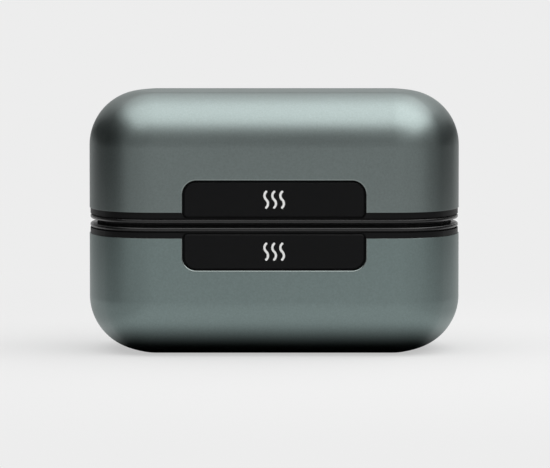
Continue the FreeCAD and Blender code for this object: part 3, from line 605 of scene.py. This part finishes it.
def draw_wave(bm, x):
    """One upright wave in the level plane: up its right side, round its end, and back."""
    foot = Vector((x, -arc_rise, 0))
    head = Vector((x, arc_rise, 0))
    aside = Vector((arc_radius * math.cos(WAVE_SWING), 0, 0))
    first = (foot + Vector((x, 0, 0))) / 2 - aside
    second = (head + Vector((x, 0, 0))) / 2 + aside
    start = first + outer * Vector((math.cos(WAVE_SWING), -math.sin(WAVE_SWING), 0))
    trace(bm, start, (first, 2 * WAVE_SWING), (second, -2 * WAVE_SWING), (head, math.pi),
          (second, 2 * WAVE_SWING), (first, -2 * WAVE_SWING), (foot, math.pi))


def print_on(name, bm, turn, place, half, body):
    """Fill a mark's outlines, give it the ink's thickness, stand it up and set it on its face."""
    bmesh.ops.remove_doubles(bm, verts=bm.verts, dist=SAME_PLACE)
    filled = bmesh.ops.triangle_fill(bm, edges=bm.edges[:], use_beauty=True)["geom"]
    thicken(bm, only(bmesh.types.BMFace, filled), (0, 0, INK_THICKNESS))
    bmesh.ops.rotate(bm, cent=(0, 0, 0), matrix=turn, verts=bm.verts)
    bmesh.ops.translate(bm, vec=place, verts=bm.verts)
    mesh = finished_mesh(bm, name)
    if half == "lower":
        mesh.transform(lower_placed)
    new_piece(f"{half}_{name}", mesh, white_ink, body)


to_front = Matrix.Rotation(QUARTER, 3, "X")
tab_face = Vector((0, tab_low.y, (tab_low.z + tab_high.z) / 2))
for half in HALVES:
    bm = bmesh.new()
    for number in range(WAVE_COUNT):
        draw_wave(bm, (number - (WAVE_COUNT - 1) / 2) * WAVE_PITCH)
    print_on("heat_mark", bm, to_front, tab_face, half, f"{half}_unit")


# Power key: moulded with the same grain as the tabs, a little smoother from its own tool. It slides
# in the control plate's window and has the usual ring and bar printed on it.
KEY_BLACK = (0.008, 0.0082, 0.0087)
RING_RADIUS = 0.00085
RING_OPENING = math.radians(38)
KEY_STROKE = 0.00026
BAR_FOOT = 0.0001
BAR_HEAD = 0.0012

dress("power_button", moulded_plastic("satin_key_plastic", KEY_BLACK, roughness=0.34, specular=0.25))

key_low, key_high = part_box("upper_power_button")
key_face = Vector(((key_low.x + key_high.x) / 2, key_high.y, (key_low.z + key_high.z) / 2))
to_rear = Matrix.Rotation(math.pi, 3, "Z") @ to_front
middle = Vector((0, 0, 0))
ring_start = Vector((math.sin(RING_OPENING), math.cos(RING_OPENING), 0))
ring_end = Vector((-ring_start.x, ring_start.y, 0))
sweep = 2 * (math.pi - RING_OPENING)
for half in HALVES:
    bm = bmesh.new()
    trace(bm, (RING_RADIUS + KEY_STROKE / 2) * ring_start,
          (middle, -sweep), (RING_RADIUS * ring_end, -math.pi),
          (middle, sweep), (RING_RADIUS * ring_start, -math.pi))
    trace(bm, Vector((KEY_STROKE / 2, BAR_FOOT, 0)),
          Vector((KEY_STROKE / 2, BAR_HEAD, 0)), (Vector((0, BAR_HEAD, 0)), math.pi),
          Vector((-KEY_STROKE / 2, BAR_FOOT, 0)), (Vector((0, BAR_FOOT, 0)), math.pi))
    print_on("power_mark", bm, to_rear, key_face, half, f"{half}_button")


# Face inlay: a thin rubber moulding in the face plate's recess, bonded over the screw heads. It stands
# a little proud of the lip, so the halves meet on rubber. Soft-touch, matt and slightly dusty, with
# rows of fine grip dots from its mould.
DOT_PITCH = 0.0015
DOT_HEIGHT = 0.00006
DOT_EDGE = (0.22, 0.36)

rubber, shade = new_finish("matt_rubber", Specular_IOR_Level=0.2)
pores = shade.noise(grain=0.00018, detail=4)
dust = shade.noise(grain=0.012, detail=4)
rows = {"Vector": shade.place(), "Scale": 1 / DOT_PITCH, "Randomness": 0.0}
from_dot = shade.node("TexVoronoi", {"voronoi_dimensions": "2D"}, rows)
dots = shade.spread(from_dot, *DOT_EDGE, 1, 0)
wear = 0.3 * pores + 0.4 * dust + 0.3 * dots
feed(rubber,
     Base_Color=shade.blend(wear, (0.0055, 0.0055, 0.0058, 1), (0.0150, 0.0150, 0.0155, 1)),
     Roughness=shade.spread(dust - 0.2 * dots, 0.1, 0.7, 0.58, 0.8),
     Normal=shade.bump(0.2 * pores + dots, DOT_HEIGHT))
dress("face_inlay", rubber)


# Studio: a wide pale floor of matt paint that keeps the object's shadow, and a pale backdrop behind it.
# In the metal the floor shows painted shade: a painted contact shadow at the object's foot, a painted
# fall-off with distance, and painted shade at its ends and far out at the sides. Four black cards out of
# the picture, two low ones and two raised ones behind them, darken the rounded ends.
PALE = 0.847
PAINT = 0.55
CARD_BLACK = 0.01
CARD_AWAY = 0.46
FLOOR_RADIUS = 2.4
FLOOR_SIDES = 96
BACKDROP_WIDTH = 3.0
BACKDROP_HEIGHT = 0.5
BACKDROP_BEHIND = 1.9
# The camera sees the floor's own shade near the object, and an even tone further out.
OWN_SHADE_REACH = 0.06
EVEN_REACH = 0.26
SEEN_EVEN = 0.6
# In the metal: a painted contact shadow round the flat that the object stands on, then a painted fall-off
# of the light with distance.
FLAT_FOOT = (0.0294, 0.0117, 0)
CONTACT_REACH = 0.0063
OPEN_REACH = 0.021
NEAR_FLOOR = 0.15
FAR_FLOOR = 0.9
NEAR_GAIN = 1.00
FAR_GAIN = 0.71
# In the metal: painted shade far out at both sides, along a line behind the object.
FLANK_LEAN = 0.02
FLANK_START = 0.09
FLANK_END = 0.46
FLANK_GAIN = 0.06
FLANK_LINE = 0.2
FLANK_HALF = 0.26
FLANK_FADE = 1.1
# In the metal: a light painted shade close to the object's two ends.
SHADE_LEAN = 0.006
SIDE_START = 0.046
SIDE_DEEP = 0.064
SIDE_SHADE = 0.30
SIDE_REACH = 0.07


def new_paint(name):
    """An empty material, for a surface of the studio."""
    paint = bpy.data.materials.new(name)
    paint.use_nodes = True
    paint.node_tree.nodes.clear()
    return paint, Shade(paint.node_tree)


def cover(paint, surface):
    """Make a shader the surface of a paint."""
    output = paint.node_tree.nodes.new("ShaderNodeOutputMaterial")
    paint.node_tree.links.new(surface.socket, output.inputs["Surface"])


def grey(level):
    return (level, level, level, 1)


def ray(shade, kind):
    """1 for the rays of one kind, 0 for the others."""
    return shade.node("LightPath", {}, {}, kind)


def vector(shade, operation, *places, output="Vector"):
    """A step of arithmetic on whole places."""
    return shade.node("VectorMath", {"operation": operation}, dict(enumerate(places)), output)


def off_line(shade, axis, line):
    """How far a point lies to either side of a line across an axis."""
    return shade.node("Math", {"operation": "ABSOLUTE"}, {0: shade.place(axis) - line})


def stage_piece(name, bm, paint):
    """Put a part of the studio in the scene."""
    mesh = finished_mesh(bm, name)
    mesh.materials.append(paint)
    piece = bpy.data.objects.new(name, mesh)
    bpy.context.scene.collection.objects.link(piece)
    piece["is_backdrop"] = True
    return piece


def upright_card(width, height, turn, place):
    """A standing rectangle, the middle of its lower edge at a place."""
    bm = bmesh.new()
    bmesh.ops.create_grid(bm, x_segments=1, y_segments=1, size=0.5)
    bmesh.ops.scale(bm, vec=(width, height, 1), verts=bm.verts)
    bmesh.ops.rotate(bm, cent=(0, 0, 0), matrix=turn @ to_front, verts=bm.verts)
    bmesh.ops.translate(bm, vec=Vector(place) + Vector((0, 0, height / 2)), verts=bm.verts)
    return bm


pale, shade = new_paint("pale_paint")
seen = ray(shade, "Is Camera Ray")
mirrored = ray(shade, "Is Glossy Ray") + ray(shade, "Is Transmission Ray")
away = vector(shade, "LENGTH", shade.place(), output="Value")
even = seen * shade.spread(away, OWN_SHADE_REACH, EVEN_REACH, SEEN_EVEN, 1) + mirrored

# For the rays that the metal reflects, the floor's tone is painted: a painted contact shadow round the
# foot, a painted fall-off with distance, painted shade far out at the sides and near the ends.
outside = vector(shade, "SUBTRACT", vector(shade, "ABSOLUTE", shade.place()), FLAT_FOOT)
from_foot = vector(shade, "LENGTH", vector(shade, "MAXIMUM", outside, (0, 0, 0)), output="Value")
contact = shade.spread(from_foot, CONTACT_REACH, OPEN_REACH, 0, 1)
painted_falloff = shade.spread(away, NEAR_FLOOR, FAR_FLOOR, NEAR_GAIN, FAR_GAIN)
fading = shade.spread(off_line(shade, "Y", FLANK_LINE), FLANK_HALF, FLANK_FADE, 0, FLOOR_RADIUS)
far_out = off_line(shade, "X", FLANK_LEAN) - fading
painted_flank_shade = shade.spread(far_out, FLANK_START, FLANK_END, 1, FLANK_GAIN)
at_ends = shade.spread(off_line(shade, "X", SHADE_LEAN), SIDE_START, SIDE_DEEP, 0, SIDE_SHADE)
painted_end_shade = at_ends * shade.spread(away, SIDE_REACH, NEAR_FLOOR, 1, 0)
level = PALE * (seen + mirrored * contact * painted_falloff * painted_flank_shade * (1 - painted_end_shade))

matt = shade.node("BsdfDiffuse", {}, {"Color": grey(PAINT)})
shown = shade.node("CombineColor", {}, {"Red": level, "Green": level, "Blue": level})
tone = shade.node("Emission", {}, {"Color": shown})
cover(pale, shade.node("MixShader", {}, {0: even, 1: matt, 2: tone}))

bm = bmesh.new()
bmesh.ops.create_circle(bm, cap_ends=True, radius=FLOOR_RADIUS, segments=FLOOR_SIDES)
stage_piece("studio_floor", bm, pale)
backdrop = upright_card(BACKDROP_WIDTH, BACKDROP_HEIGHT, Matrix.Identity(3), (0, BACKDROP_BEHIND, 0))
stage_piece("studio_backdrop", backdrop, pale)

black, shade = new_paint("black_card")
cover(black, shade.node("BsdfDiffuse", {}, {"Color": grey(CARD_BLACK)}))


def black_card(name, side, behind, width, height, raised=0):
    """Stand a card at the left or right of the object, seen in the metal but not by the camera."""
    place = (side * CARD_AWAY, behind, raised)
    card = upright_card(width, height, Matrix.Rotation(QUARTER, 3, "Z"), place)
    stage_piece(name, card, black).visible_camera = False


black_card("left_card", side=-1, behind=0.23, width=0.76, height=0.40)
black_card("right_card", side=1, behind=0.37, width=0.58, height=0.24)
black_card("left_rear_card", side=-1, behind=0.91, width=0.60, height=0.17, raised=0.07)
black_card("right_rear_card", side=1, behind=0.96, width=0.60, height=0.15, raised=0.07)


# Light: five soft boxes hang overhead, a bright one at the front, whose edges bound the long highlight on
# the crown, two dimmer ones behind it, and two over the right. A weak one stands at the front right and
# a long low one far in front, all in a dim even room.
ROOM = 0.28


def soft_box(name, place, width, depth, radiance, aim=None):
    """An evenly bright rectangle that faces straight down, or a point that it is aimed at."""
    place = Vector(place)
    below = (place.x, place.y, 0)
    lamp = bpy.data.lights.new(name, "AREA")
    lamp.shape = "RECTANGLE"
    lamp.size = width
    lamp.size_y = depth
    lamp.energy = radiance * math.pi * width * depth
    box = bpy.data.objects.new(name, lamp)
    box.location = place
    box.rotation_euler = (Vector(aim or below) - place).to_track_quat("-Z", "Y").to_euler()
    bpy.context.scene.collection.objects.link(box)


soft_box("overhead_box", (0.16, -0.22, 0.66), width=1.58, depth=0.76, radiance=2.40)
soft_box("overhead_end_box", (0.54, -0.235, 0.65), width=0.94, depth=1.05, radiance=0.74)
soft_box("middle_box", (0.22, 0.29, 0.66), width=1.70, depth=0.26, radiance=1.45)
soft_box("rear_box", (0.10, 0.73, 0.66), width=1.40, depth=0.62, radiance=0.85)
soft_box("right_rear_box", (0.50, 0.64, 0.65), width=0.55, depth=0.70, radiance=0.65)
soft_box("right_box", (0.50, -0.68, 0.40), width=0.70, depth=0.30, radiance=0.45, aim=(0.03, 0, 0.05))
soft_box("front_box", (0, -2.0, 0.12), width=1.60, depth=0.24, radiance=0.45, aim=(0, 0, 0.12))

room = bpy.data.worlds.new("dim_room")
room.use_nodes = True
room.node_tree.nodes["Background"].inputs["Color"].default_value = grey(ROOM)
bpy.context.scene.world = room


# Camera: a long lens from slightly above the front, as in the photograph. Its focal length, height and
# aim were fitted to the object's outline and to the curve of the seam.
IMAGE_WIDTH = 550
FOCAL_PIXELS = 4916
SENSOR_WIDTH = 36
CAMERA_DISTANCE = 1.2
CAMERA_ELEVATION = math.radians(3.7)
AIM_DROP = 0.0036
AIM_RIGHT = 0.0002

lens = bpy.data.cameras.new("front_camera")
lens.sensor_width = SENSOR_WIDTH
lens.lens = FOCAL_PIXELS * SENSOR_WIDTH / IMAGE_WIDTH
camera = bpy.data.objects.new("front_camera", lens)
back = Vector((0, -math.cos(CAMERA_ELEVATION), math.sin(CAMERA_ELEVATION)))
camera.location = Vector((AIM_RIGHT, 0, SEAM_LEVEL - AIM_DROP)) + CAMERA_DISTANCE * back
camera.rotation_euler = (-back).to_track_quat("-Z", "Y").to_euler()
bpy.context.scene.collection.objects.link(camera)
bpy.context.scene.camera = camera
bpy.context.scene.view_settings.view_transform = "Standard"

low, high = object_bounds()
